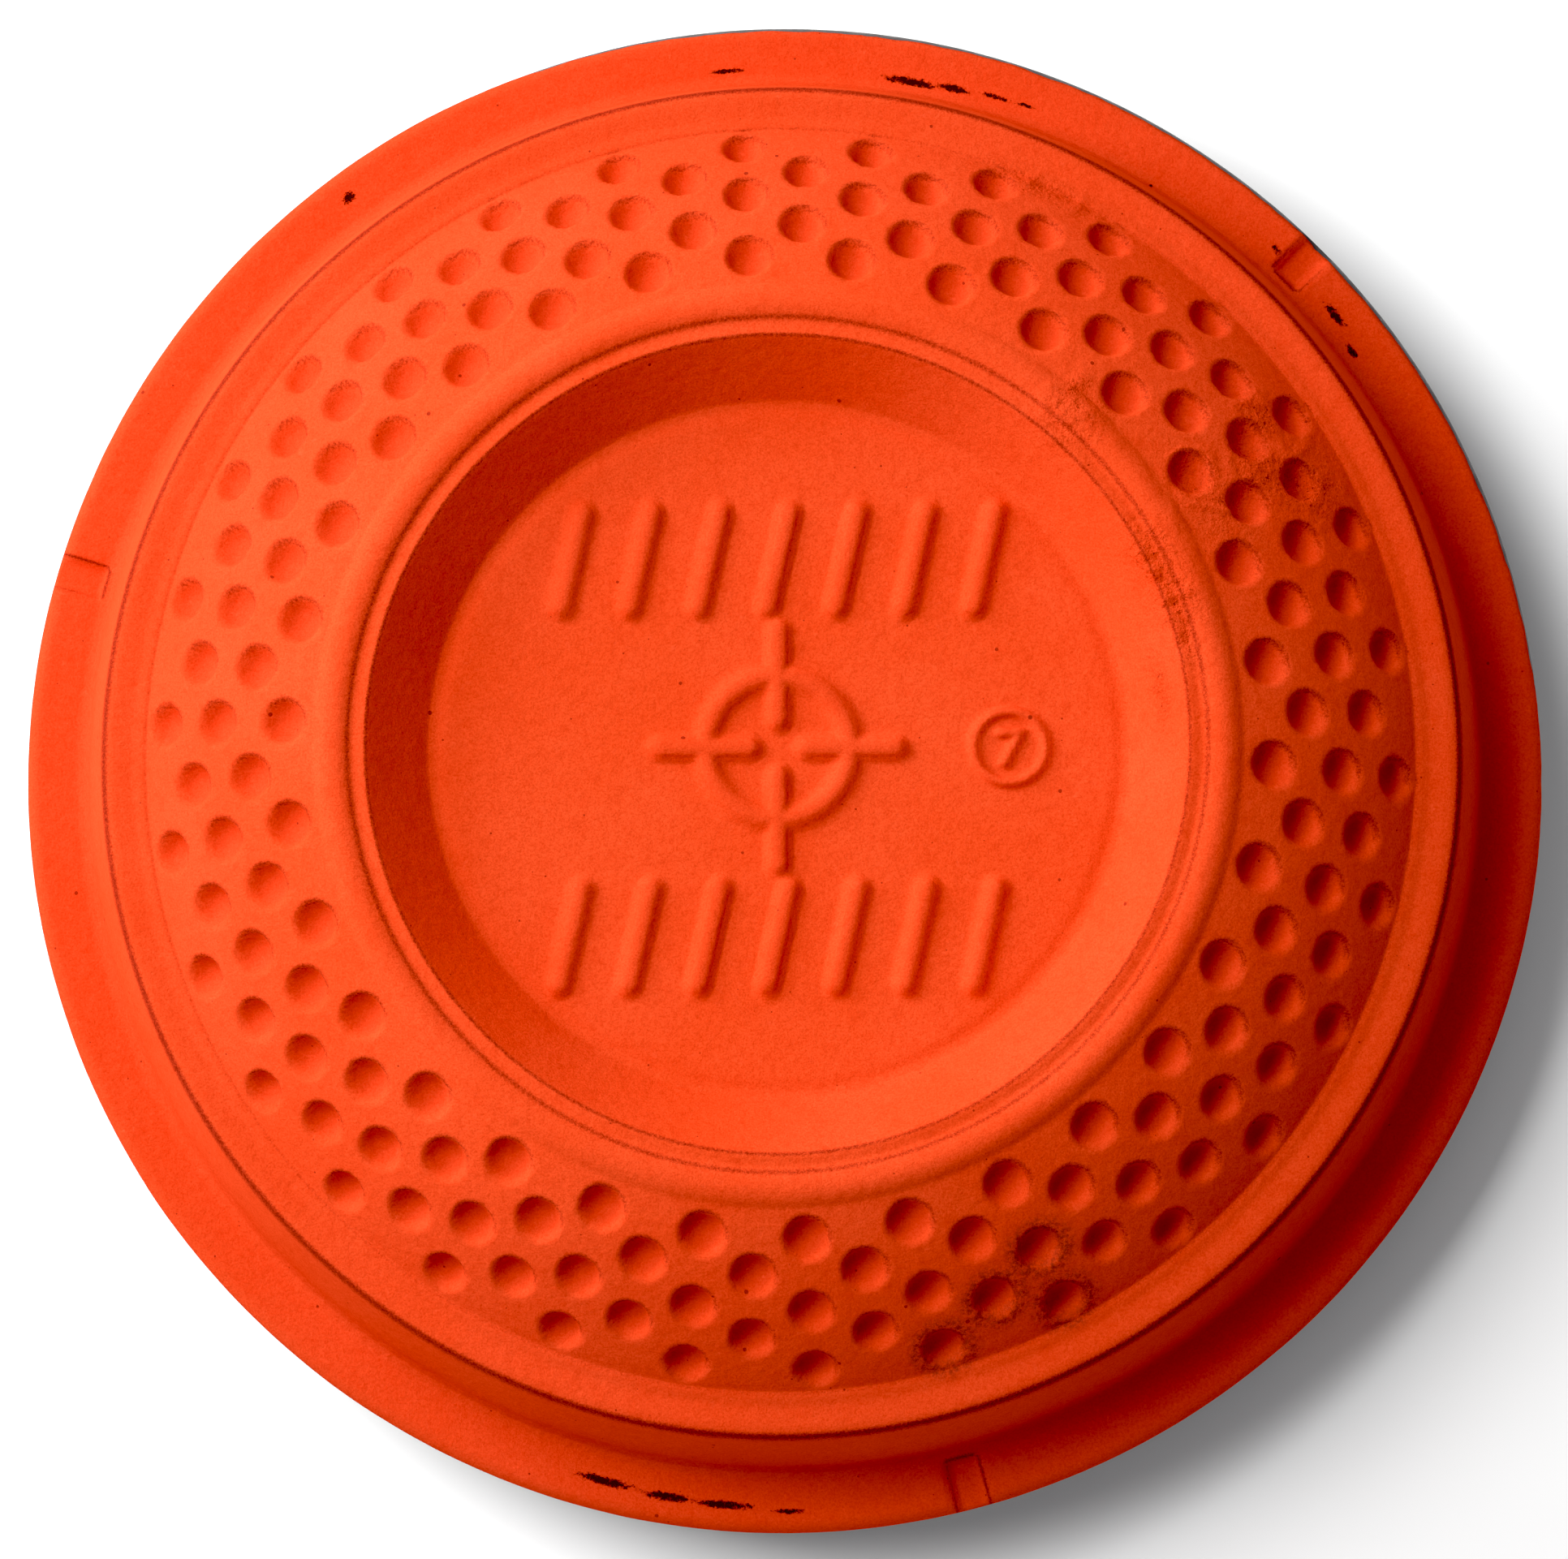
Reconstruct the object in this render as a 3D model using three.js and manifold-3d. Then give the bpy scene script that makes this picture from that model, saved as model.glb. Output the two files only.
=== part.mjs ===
// A clay shooting target: one moulded disc of pitch and limestone, sprayed with orange paint from above.
// Millimetres, +Z up. The origin is the centre of the foot ring, on the plane that the disc stands on.

import * as THREE from "three";
import { ConvexGeometry } from "three/addons/geometries/ConvexGeometry.js";
import { mergeVertices } from "three/addons/utils/BufferGeometryUtils.js";
import Module from "manifold-3d";

const wasm = await Module();
wasm.setup();

// The paint's thickness, straight up: it is sprayed from above, so it lies thinner on steep walls.
const PAINT_FILM = 0.1;

// Heights of the bare moulding above the foot.
const BEAD_TOP = 28.32 - PAINT_FILM;
const RECESS_EDGE = 27.95;
const GROOVE_FLOOR = 27.8;
const DOME_TOP = 27.5;
const RECESS_FLOOR = 23.9;
const DOME_FOOT = 19.7;
const SHOULDER = 19.5;
const FLANGE = 10.16 - PAINT_FILM;

// Radii of the upper side, from the recess out to the rim.
const RECESS_FLOOR_RADIUS = 24.5;
const RECESS_MOUTH_RADIUS = 28.5;
const GROOVE_RADIUS = 29.3;
const BEAD_CREST_RADIUS = 30.7;
const BEAD_ROUNDING = 0.5;
const DOME_INNER_RADIUS = 32.1;
const DOME_OUTER_RADIUS = 44.6;
const DOME_ARC_RADIUS = 33.5;
const SHOULDER_INNER_RADIUS = 45.5;
const RING_HEAD_RADIUS = 47.85;
const RING_HEAD_ROUNDING = 0.5;
const RING_FOOT_RADIUS = 49.7;
const RING_FOOT_FILLET = 0.9;
const RIM_RADIUS = 54.48;
const RIM_ROUNDING = 0.9;

// The underside: a flat foot ring round a hollow that takes the ring and dome of the next disc in a stack.
const FOOT_OUTER_RADIUS = 52.6;
const FOOT_INNER_RADIUS = 50.5;
const FOOT_CHAMFER = 0.3;
const HOLLOW_MOUTH_RADIUS = 48.7;
const HOLLOW_MOUTH_HEIGHT = 9.6;
const LEDGE_RADIUS = 45.6;
const LEDGE_HEIGHT = 12.4;
const CEILING_OUTER_RADIUS = 31.5;
const CEILING_INNER_RADIUS = 27.4;
const CEILING_HEIGHT = 23.2;
const HOLLOW_ARC_RADIUS = 30;
const BOSS_RADIUS = 23.4;
const BOSS_HEIGHT = 20.4;

// Dimples on the dome, in rings. Every second ring is turned, so that its dimples stand between the others.
const DIMPLES_PER_RING = 30;
const DIMPLE_RING_RADII = [43.1, 41.0, 39.2, 36.7, 34.3];
const DIMPLE_RING_TURNS = [9.36, 3.36];
const DIMPLE_RADIUS = 1.65;
const DIMPLE_DEPTH = 0.75;
const DIMPLE_SIDES = 6;

// Scoops pressed in the flange, from the rim inwards.
const NOTCH_COUNT = 3;
const NOTCH_TURN = 44.4;
const NOTCH_WIDTH = 2.6;
const NOTCH_LENGTH = 3.7;
const NOTCH_DEPTH = 0.4;
const NOTCH_SLOPE = 0.5;

// Relief on the recess floor: two rows of slanted strokes, a ringed cross, and a ringed cavity number.
const RELIEF_HEIGHT = 0.55;
const RELIEF_ROOT = 0.3;
const RELIEF_DRAFT = 0.5;
const STROKE_WIDTH = 1.9;
const STROKE_END_STEPS = 2;
const STROKES_PER_ROW = 7;
const STROKE_PITCH = 4.8;
const STROKE_RISE = 6.6;
const STROKE_LEAN = 1.5;
const ROW_OFFSET = 13.2;
const EMBLEM_RING_RADIUS = 5.0;
const EMBLEM_ARMS = 4;
const EMBLEM_ARM_INNER = 2.0;
const EMBLEM_ARM_OUTER = 8.2;
const NUMBER_X = 16.1;
const NUMBER_RING_RADIUS = 2.5;
const NUMBER_WIDTH = 0.8;
const NUMBER_DRAFT = 0.25;
const NUMERAL_HALF_WIDTH = 0.7;
const NUMERAL_HALF_HEIGHT = 0.9;

// How finely round shapes are faceted, and how far a cutter stands proud of what it cuts.
const LATHE_STEPS = 60;
const RELIEF_RING_STEPS = 20;
const ARC_STEPS = 1;
const OVERSHOOT = 0.3;

const PITCH_MATERIAL = new THREE.MeshStandardMaterial({ color: 0x1b1918, roughness: 0.55, metalness: 0 });
const PAINT_MATERIAL = new THREE.MeshStandardMaterial({ color: 0xf4491f, roughness: 0.85, metalness: 0 });

const radians = THREE.MathUtils.degToRad;

// A closed geometry as a solid that can be joined and cut.
function solid(geometry) {
  const bare = geometry.clone();
  bare.deleteAttribute("normal");
  bare.deleteAttribute("uv");
  const merged = mergeVertices(bare);
  return new wasm.Manifold(
    new wasm.Mesh({
      numProp: 3,
      vertProperties: new Float32Array(merged.attributes.position.array),
      triVerts: new Uint32Array(merged.index.array),
    }),
  );
}

function geometryOf(shape) {
  const { vertProperties, triVerts } = shape.getMesh();
  const geometry = new THREE.BufferGeometry();
  geometry.setAttribute("position", new THREE.BufferAttribute(vertProperties, 3));
  geometry.setIndex(new THREE.BufferAttribute(triVerts, 1));
  geometry.computeVertexNormals();
  return geometry;
}

// A profile of radius and height, turned about the Z axis.
function turned(profile) {
  return new THREE.LatheGeometry(profile.getPoints(ARC_STEPS), LATHE_STEPS).rotateX(Math.PI / 2);
}

// The centre of an arc that swells outwards and up, from a low outer point to a high inner one.
function arcCentre(outer, inner, radius) {
  const middle = outer.clone().add(inner).multiplyScalar(0.5);
  const chord = inner.clone().sub(outer);
  const reach = Math.sqrt(radius ** 2 - chord.lengthSq() / 4);
  const inward = new THREE.Vector2(-chord.y, chord.x).setLength(reach);
  return middle.add(inward);
}

// An arc between two radii of the profile.
function drawArc(profile, centre, radius, fromRadius, toRadius) {
  const start = Math.acos((fromRadius - centre.x) / radius);
  const end = Math.acos((toRadius - centre.x) / radius);
  profile.absarc(centre.x, centre.y, radius, start, end, start > end);
}

const domeCentre = arcCentre(
  new THREE.Vector2(DOME_OUTER_RADIUS, DOME_FOOT),
  new THREE.Vector2(DOME_INNER_RADIUS, DOME_TOP),
  DOME_ARC_RADIUS,
);

const hollowCentre = arcCentre(
  new THREE.Vector2(LEDGE_RADIUS, LEDGE_HEIGHT),
  new THREE.Vector2(CEILING_OUTER_RADIUS, CEILING_HEIGHT),
  HOLLOW_ARC_RADIUS,
);

// The underside's half section, from the axis out to the foot.
function drawUnderside(profile) {
  profile.moveTo(0, BOSS_HEIGHT);
  profile.lineTo(BOSS_RADIUS, BOSS_HEIGHT);
  profile.lineTo(CEILING_INNER_RADIUS, CEILING_HEIGHT);
  profile.lineTo(CEILING_OUTER_RADIUS, CEILING_HEIGHT);
  drawArc(profile, hollowCentre, HOLLOW_ARC_RADIUS, CEILING_OUTER_RADIUS, LEDGE_RADIUS);
  profile.lineTo(HOLLOW_MOUTH_RADIUS, HOLLOW_MOUTH_HEIGHT);
  profile.lineTo(FOOT_INNER_RADIUS, FOOT_CHAMFER);
  profile.lineTo(FOOT_INNER_RADIUS + FOOT_CHAMFER, 0);
  profile.lineTo(FOOT_OUTER_RADIUS, 0);
}

// The flange and the ring that stands on it, from the foot in to the shoulder.
function drawFlangeAndRing(profile) {
  profile.lineTo(FOOT_OUTER_RADIUS + FOOT_CHAMFER, FOOT_CHAMFER);
  profile.lineTo(RIM_RADIUS, FLANGE - RIM_ROUNDING);
  profile.quadraticCurveTo(RIM_RADIUS, FLANGE, RIM_RADIUS - RIM_ROUNDING, FLANGE);
  profile.lineTo(RING_FOOT_RADIUS + RING_FOOT_FILLET, FLANGE);
  profile.lineTo(RING_FOOT_RADIUS, FLANGE + RING_FOOT_FILLET);
  profile.lineTo(RING_HEAD_RADIUS, SHOULDER - RING_HEAD_ROUNDING);
  profile.lineTo(RING_HEAD_RADIUS - RING_HEAD_ROUNDING, SHOULDER);
}

// The shoulder, dome, bead and recess, from the ring in to the axis.
function drawCrown(profile) {
  profile.lineTo(SHOULDER_INNER_RADIUS, SHOULDER);
  profile.lineTo(DOME_OUTER_RADIUS, DOME_FOOT);
  drawArc(profile, domeCentre, DOME_ARC_RADIUS, DOME_OUTER_RADIUS, DOME_INNER_RADIUS);
  profile.quadraticCurveTo(DOME_INNER_RADIUS - BEAD_ROUNDING, BEAD_TOP, BEAD_CREST_RADIUS, BEAD_TOP);
  profile.lineTo(GROOVE_RADIUS, GROOVE_FLOOR);
  profile.lineTo(RECESS_MOUTH_RADIUS, RECESS_EDGE);
  profile.lineTo(RECESS_FLOOR_RADIUS, RECESS_FLOOR);
  profile.lineTo(0, RECESS_FLOOR);
}

function disc() {
  const profile = new THREE.Path();
  drawUnderside(profile);
  drawFlangeAndRing(profile);
  drawCrown(profile);
  return solid(turned(profile));
}

// A cutter for one dimple, square to the dome at the given radius.
function dimple(radius, turn) {
  const lean = Math.asin((radius - domeCentre.x) / DOME_ARC_RADIUS);
  const height = domeCentre.y + DOME_ARC_RADIUS * Math.cos(lean);
  const length = DIMPLE_DEPTH + OVERSHOOT;
  const mouth = (DIMPLE_RADIUS * length) / DIMPLE_DEPTH;
  const cone = new THREE.ConeGeometry(mouth, length, DIMPLE_SIDES)
    .rotateX(-Math.PI / 2)
    .translate(0, 0, length / 2 - DIMPLE_DEPTH)
    .rotateY(lean)
    .translate(radius, 0, height)
    .rotateZ(radians(turn));
  return solid(cone);
}

function cutDimples(body) {
  const step = 360 / DIMPLES_PER_RING;
  DIMPLE_RING_RADII.forEach((radius, ring) => {
    const first = DIMPLE_RING_TURNS[ring % 2];
    for (let i = 0; i < DIMPLES_PER_RING; i++) {
      body = body.subtract(dimple(radius, first + i * step));
    }
  });
  return body;
}

// The corners of a rectangle at one height, from an inner radius out past the rim.
function notchCorners(inner, halfWidth, height) {
  const outer = RIM_RADIUS + OVERSHOOT;
  return [
    new THREE.Vector3(inner, -halfWidth, height),
    new THREE.Vector3(inner, halfWidth, height),
    new THREE.Vector3(outer, -halfWidth, height),
    new THREE.Vector3(outer, halfWidth, height),
  ];
}

function notch(turn) {
  const inner = RIM_RADIUS - NOTCH_LENGTH;
  const corners = [
    ...notchCorners(inner + NOTCH_SLOPE, NOTCH_WIDTH / 2 - NOTCH_SLOPE, FLANGE - NOTCH_DEPTH),
    ...notchCorners(inner, NOTCH_WIDTH / 2, FLANGE),
    ...notchCorners(inner, NOTCH_WIDTH / 2, FLANGE + OVERSHOOT),
  ];
  return solid(new ConvexGeometry(corners).rotateZ(radians(turn)));
}

function cutNotches(body) {
  for (let i = 0; i < NOTCH_COUNT; i++) {
    body = body.subtract(notch(NOTCH_TURN + (i * 360) / NOTCH_COUNT));
  }
  return body;
}

// A raised stroke with round ends and sloping sides, between two points of the recess floor.
function stroke(from, to, width, draft) {
  const heading = to.clone().sub(from).angle();
  const levels = [
    { height: RECESS_FLOOR - RELIEF_ROOT, radius: width / 2 },
    { height: RECESS_FLOOR + RELIEF_HEIGHT, radius: width / 2 - draft },
  ];
  const points = [];
  for (const { height, radius } of levels) {
    for (let i = 0; i <= STROKE_END_STEPS; i++) {
      const angle = heading + Math.PI / 2 + (i * Math.PI) / STROKE_END_STEPS;
      const reach = new THREE.Vector2(Math.cos(angle), Math.sin(angle)).multiplyScalar(radius);
      points.push(new THREE.Vector3(from.x + reach.x, from.y + reach.y, height));
      points.push(new THREE.Vector3(to.x - reach.x, to.y - reach.y, height));
    }
  }
  return solid(new ConvexGeometry(points));
}

// A raised ring with sloping sides on the recess floor.
function reliefRing(radius, width, draft, x) {
  const bottom = RECESS_FLOOR - RELIEF_ROOT;
  const top = RECESS_FLOOR + RELIEF_HEIGHT;
  const section = new THREE.Path();
  section.moveTo(radius - width / 2, bottom);
  section.lineTo(radius + width / 2, bottom);
  section.lineTo(radius + width / 2 - draft, top);
  section.lineTo(radius - width / 2 + draft, top);
  section.lineTo(radius - width / 2, bottom);
  const ring = new THREE.LatheGeometry(section.getPoints(), RELIEF_RING_STEPS).rotateX(Math.PI / 2);
  return solid(ring.translate(x, 0, 0));
}

function addStrokeRow(body, y) {
  const half = new THREE.Vector2(STROKE_LEAN, STROKE_RISE).multiplyScalar(0.5);
  for (let i = 0; i < STROKES_PER_ROW; i++) {
    const middle = new THREE.Vector2((i - (STROKES_PER_ROW - 1) / 2) * STROKE_PITCH, y);
    body = body.add(stroke(middle.clone().sub(half), middle.clone().add(half), STROKE_WIDTH, RELIEF_DRAFT));
  }
  return body;
}

function addEmblem(body) {
  body = body.add(reliefRing(EMBLEM_RING_RADIUS, STROKE_WIDTH, RELIEF_DRAFT, 0));
  for (let i = 0; i < EMBLEM_ARMS; i++) {
    const way = new THREE.Vector2(1, 0).rotateAround(new THREE.Vector2(), (i * 2 * Math.PI) / EMBLEM_ARMS);
    const from = way.clone().multiplyScalar(EMBLEM_ARM_INNER);
    const to = way.clone().multiplyScalar(EMBLEM_ARM_OUTER);
    body = body.add(stroke(from, to, STROKE_WIDTH, RELIEF_DRAFT));
  }
  return body;
}

// The cavity number, a plain seven in a ring.
function addCavityNumber(body) {
  const left = new THREE.Vector2(NUMBER_X - NUMERAL_HALF_WIDTH, NUMERAL_HALF_HEIGHT);
  const corner = new THREE.Vector2(NUMBER_X + NUMERAL_HALF_WIDTH, NUMERAL_HALF_HEIGHT);
  const foot = new THREE.Vector2(NUMBER_X - NUMERAL_HALF_WIDTH / 2, -NUMERAL_HALF_HEIGHT);
  return body
    .add(reliefRing(NUMBER_RING_RADIUS, NUMBER_WIDTH, NUMBER_DRAFT, NUMBER_X))
    .add(stroke(left, corner, NUMBER_WIDTH, NUMBER_DRAFT))
    .add(stroke(corner, foot, NUMBER_WIDTH, NUMBER_DRAFT));
}

function pitchBody() {
  let body = cutNotches(cutDimples(disc()));
  body = addStrokeRow(body, ROW_OFFSET);
  body = addStrokeRow(body, -ROW_OFFSET);
  return addCavityNumber(addEmblem(body));
}

// The paint is the shell between the body and a copy of it that is raised by the film's thickness.
function paintCoat(body) {
  const raised = solid(geometryOf(body).translate(0, 0, PAINT_FILM));
  return raised.subtract(body);
}

function named(name, shape, material) {
  const mesh = new THREE.Mesh(geometryOf(shape), material);
  mesh.name = name;
  return mesh;
}

const body = pitchBody();
const target = new THREE.Group();
target.add(named("pitch_body", body, PITCH_MATERIAL));
target.add(named("paint_coat", paintCoat(body), PAINT_MATERIAL));

export default target;
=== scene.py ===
import math

import bpy
import numpy as np
from mathutils import Matrix, Vector


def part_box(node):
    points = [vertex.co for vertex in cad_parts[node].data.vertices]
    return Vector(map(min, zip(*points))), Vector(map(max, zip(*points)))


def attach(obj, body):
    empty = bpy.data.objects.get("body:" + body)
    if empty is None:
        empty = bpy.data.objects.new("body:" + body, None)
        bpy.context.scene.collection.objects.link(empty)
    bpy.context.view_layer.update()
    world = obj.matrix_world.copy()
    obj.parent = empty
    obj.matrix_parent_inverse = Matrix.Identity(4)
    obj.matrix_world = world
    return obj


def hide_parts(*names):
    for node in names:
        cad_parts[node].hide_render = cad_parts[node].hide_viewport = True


# A clay shooting target: a disc moulded in pitch and limestone, under a sprayed coat of orange paint.
# Shapes are worked out in millimetres about the disc's axis, and meshes are made in metres.

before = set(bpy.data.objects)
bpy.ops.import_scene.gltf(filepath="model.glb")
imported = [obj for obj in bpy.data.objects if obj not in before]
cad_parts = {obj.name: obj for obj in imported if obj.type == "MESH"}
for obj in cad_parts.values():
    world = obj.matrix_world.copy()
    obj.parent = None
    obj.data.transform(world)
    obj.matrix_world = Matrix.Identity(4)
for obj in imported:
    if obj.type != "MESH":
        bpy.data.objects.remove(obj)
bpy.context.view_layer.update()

MM = 0.001
BODY = "root"

# The paint's thickness, the gap below it, and how far the hidden surfaces below its top are sunk, so that
# their wider spacing of points never brings them through it.
FILM = 0.09
SKIN_GAP = 0.012
SKIN_SINK = 0.15

# Heights of the bare moulding above the foot, and radii from the axis.
RIM_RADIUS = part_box("pitch_body")[1].x / MM - FILM - 0.03
BEAD_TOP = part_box("paint_coat")[1].z / MM - FILM - 0.02
FLANGE = 10.06
RIM_ROUNDING = 0.9
FOOT_OUTER = 52.6
FOOT_INNER = 50.5
DOME_OUTER = np.array([44.6, 19.72])
DOME_INNER = np.array([32.15, 27.5])
DOME_ARC_RADIUS = 33.5
HOLLOW_OUTER = np.array([45.6, 12.4])
HOLLOW_INNER = np.array([31.5, 23.2])
HOLLOW_ARC_RADIUS = 30.0
RECESS_MOUTH = 28.55
RECESS_EDGE = 27.95
BEAD_CREST = 30.7
BEAD_ROUNDING = 1.8
RECESS_FLOOR = 23.9
RECESS_FLOOR_RADIUS = 24.5
FLANGE_INNER = 49.5
RING_CORNER = 47.95

# How the surface is sampled: points round a ring, and the gap between rings where the profile is straight.
FINE_COUNT = 896
PROFILE_STEP = 0.02
RING_GAP = 0.3
BEND_GAIN = 1.6
BEND_LIMIT = 8.0

DIMPLES_PER_RING = 30
# Radius, turn in degrees and mouth radius of each ring of dimples.
DIMPLE_RINGS = (
    (43.1, 9.36, 1.50),
    (41.0, 3.36, 1.55),
    (39.2, 9.36, 1.58),
    (36.75, 3.36, 1.62),
    (34.3, 9.36, 1.65),
)
DIMPLE_DEPTH = 1.1
DIMPLE_LIP = 0.022

NOTCH_TURNS = (44.4, 164.4, 284.4)
NOTCH_HALF_WIDTH = 1.25
NOTCH_LENGTH = 3.7
NOTCH_DEPTH = 0.6
NOTCH_SLOPE = 1.3

# Wear, each as a bearing in degrees, a radius, and half its spread round and across in millimetres.
SCUFFS = (
    (79.5, 51.05, 2.6, 0.42),
    (76.0, 51.2, 1.6, 0.36),
    (72.5, 51.4, 1.4, 0.26),
    (70.0, 51.5, 0.9, 0.20),
    (94.5, 51.2, 1.6, 0.24),
    (57.9, 49.95, 0.25, 0.22),
    (127.0, 52.4, 0.7, 0.55),
    (46.6, 51.9, 0.5, 0.35),
    (39.6, 51.7, 1.5, 0.45),
    (36.4, 51.0, 0.8, 0.35),
    (-104.0, 52.3, 2.8, 0.42),
    (-99.0, 52.5, 2.4, 0.42),
    (-94.5, 52.6, 2.6, 0.38),
    (-89.5, 52.9, 1.6, 0.24),
)
CRUMBS = (
    (26.0, 29.1, 2.4, 1.3),
    (20.0, 29.3, 2.2, 1.2),
    (15.0, 29.2, 2.0, 0.6),
    (8.0, 26.9, 2.2, 0.5),
    (50.0, 31.6, 0.7, 1.6),
    (30.5, 38.6, 2.2, 1.5),
    (26.0, 41.5, 1.8, 1.6),
    (35.0, 41.0, 1.5, 1.2),
)
WRINKLES = (
    (30.0, 34.6, 3.5, 2.2),
    (28.0, 40.5, 3.0, 2.8),
    (66.0, 44.2, 4.2, 0.9),
    (48.0, 30.6, 2.2, 2.0),
)
# Dimples with a dark deposit round them, as a bearing and a radius.
SMUDGES = ((-74.6, 43.1), (-68.6, 41.0), (-62.6, 39.2), (-62.6, 43.1))

# Dark grainy lines round the disc: the radius, half width and strength of each. The lines at the ring's
# corner and the recess edge are grime, those at the dome's and the bead's feet are dark grains in the
# creases, and the one on the bead's inner flank is painted shade.
GRIME_AND_SHADE_LINES = (
    (47.72, 0.65, 1.0),
    (44.75, 0.40, 0.55),
    (32.25, 0.35, 0.35),
    # Painted shade on the bead's inner flank.
    (29.75, 0.55, 0.8),
    (28.5, 0.40, 0.85),
)

# The bearings about which the rim is bare, the dimples' lips are dirty and the ring's corner is rubbed.
BARE_BEARING = 60
LIP_DIRT_BEARING = 60
RUBBED_BEARING = -25

# A moulded stroke: a ridge with a rounded top on a wider sloping base. The half widths and heights.
STROKE_BASE = 1.12
STROKE_RIDGE = 0.6
STROKE_BASE_HEIGHT = 0.40
STROKE_HEIGHT = 0.66
NUMBER_SCALE = 0.45
BAR_LEAN = 0.75
BAR_RISE = 3.3
BAR_PITCH = 4.8
ROW_PLACE = 13.2
CROSS_RING_RADIUS = 5.0
CROSS_ARM_INNER = 2.0
CROSS_ARM_OUTER = 8.2
NUMBER_PLACE = (16.1, 0)
NUMBER_RING_RADIUS = 2.5


# ---------------------------------------------------------------- curves and noise

def value_noise(points, size, seed):
    """Smooth noise from -1 to 1 at points in millimetres, with features of the given size."""
    tile = 32
    lattice = np.random.default_rng(seed).uniform(-1, 1, (tile, tile, tile))
    scaled = points / size + 1000.5
    cell = np.floor(scaled).astype(int)
    part = scaled - cell
    part = part * part * (3 - 2 * part)
    total = np.zeros(len(points))
    for corner in np.ndindex(2, 2, 2):
        weight = np.prod(np.where(corner, part, 1 - part), axis=1)
        index = (cell + corner) % tile
        total += weight * lattice[index[:, 0], index[:, 1], index[:, 2]]
    return total


def smooth(value, low, high):
    """0 below low, 1 above high, and a smooth step between them."""
    part = np.clip((value - low) / (high - low), 0, 1)
    return part * part * (3 - 2 * part)


def turned_away(angle, bearing):
    """The angle from a bearing in degrees, from -pi to pi."""
    return np.remainder(angle - math.radians(bearing) + math.pi, 2 * math.pi) - math.pi


def arc(centre, radius, start, end, count=40):
    angles = np.radians(np.linspace(start, end, count))
    return np.column_stack([centre[0] + radius * np.cos(angles), centre[1] + radius * np.sin(angles)])


def swelling_centre(outer, inner, radius):
    """The centre of an arc from a low outer point to a high inner one that swells outwards and up."""
    chord = inner - outer
    reach = math.sqrt(radius**2 - chord @ chord / 4)
    return (outer + inner) / 2 + np.array([-chord[1], chord[0]]) / np.linalg.norm(chord) * reach


def swelling_arc(outer, inner, radius):
    centre = swelling_centre(outer, inner, radius)
    start, end = (math.degrees(math.atan2(*(point - centre)[::-1])) for point in (outer, inner))
    return arc(centre, radius, start, end)


def softened(points, softness):
    """A polyline resampled at an even step, with its corners rounded off."""
    lengths = np.r_[0, np.cumsum(np.linalg.norm(np.diff(points, axis=0), axis=1))]
    steps = np.arange(0, lengths[-1], PROFILE_STEP)
    even = np.column_stack([np.interp(steps, lengths, points[:, i]) for i in (0, 1)])
    reach = int(4 * softness / PROFILE_STEP)
    kernel = np.exp(-0.5 * (np.arange(-reach, reach + 1) * PROFILE_STEP / softness) ** 2)
    kernel /= kernel.sum()
    before = 2 * even[0] - even[reach:0:-1]
    after = 2 * even[-1] - even[-2:-reach - 2:-1]
    padded = np.vstack([before, even, after])
    return np.column_stack([np.convolve(padded[:, i], kernel, "valid") for i in (0, 1)])


# ---------------------------------------------------------------- the disc's half section

def underside_profile():
    """From the middle of the ceiling, out over the hollow, round the foot and up to the rim."""
    hollow = swelling_arc(HOLLOW_OUTER, HOLLOW_INNER, HOLLOW_ARC_RADIUS)
    points = np.vstack([
        [[0, 20.4], [23.4, 20.4], [27.4, 23.2]],
        hollow[::-1],
        [[48.7, 9.6], [FOOT_INNER, 0.3], [FOOT_INNER + 0.3, 0]],
        [[FOOT_OUTER, 0], [FOOT_OUTER + 0.3, 0.3], [RIM_RADIUS - 0.4, FLANGE - 3.2]],
    ])
    return softened(points, 0.2)


def top_profile():
    """From just under the rim, in over the flange, ring, dome and bead, to the middle of the recess."""
    rim_centre = (RIM_RADIUS - RIM_ROUNDING, FLANGE - RIM_ROUNDING)
    points = np.vstack([
        [[RIM_RADIUS - 0.4, FLANGE - 3.2]],
        arc(rim_centre, RIM_ROUNDING, -8, 90),
        [[50.7, FLANGE], [50.1, FLANGE + 0.25], [49.75, FLANGE + 0.9]],
        [[47.85, 18.9], [47.6, 19.4], [47.1, 19.55]],
        [[45.6, 19.55], [44.85, 19.78]],
        swelling_arc(DOME_OUTER, DOME_INNER, DOME_ARC_RADIUS),
        arc((BEAD_CREST, BEAD_TOP - BEAD_ROUNDING), BEAD_ROUNDING, 52, 116),
        [[29.55, 27.83], [29.25, 27.8], [RECESS_MOUTH, RECESS_EDGE]],
        [[RECESS_FLOOR_RADIUS, RECESS_FLOOR], [23.9, RECESS_FLOOR - 0.12], [23.2, RECESS_FLOOR]],
        [[0, RECESS_FLOOR]],
    ])
    return softened(points, 0.11)


UNDERSIDE = underside_profile()
TOP = top_profile()


def along_at(radius):
    """The distance along the top's profile at which it first comes in to a radius."""
    return np.argmax(TOP[:, 0] < radius) * PROFILE_STEP


# ---------------------------------------------------------------- turned skins

def ring_places(profile, gap):
    """Places along a profile for rings of points: evenly spaced, and closer where it bends."""
    tangent = np.gradient(profile, PROFILE_STEP, axis=0)
    heading = np.unwrap(np.arctan2(tangent[:, 1], tangent[:, 0]))
    bend = np.abs(np.gradient(heading, PROFILE_STEP))
    density = 1 / gap + np.minimum(BEND_GAIN * bend, BEND_LIMIT)
    amount = np.r_[0, np.cumsum(density[:-1] * PROFILE_STEP)]
    wanted = np.linspace(0, amount[-1], int(amount[-1]))
    return np.interp(wanted, amount, np.arange(len(profile)) * PROFILE_STEP)


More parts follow.
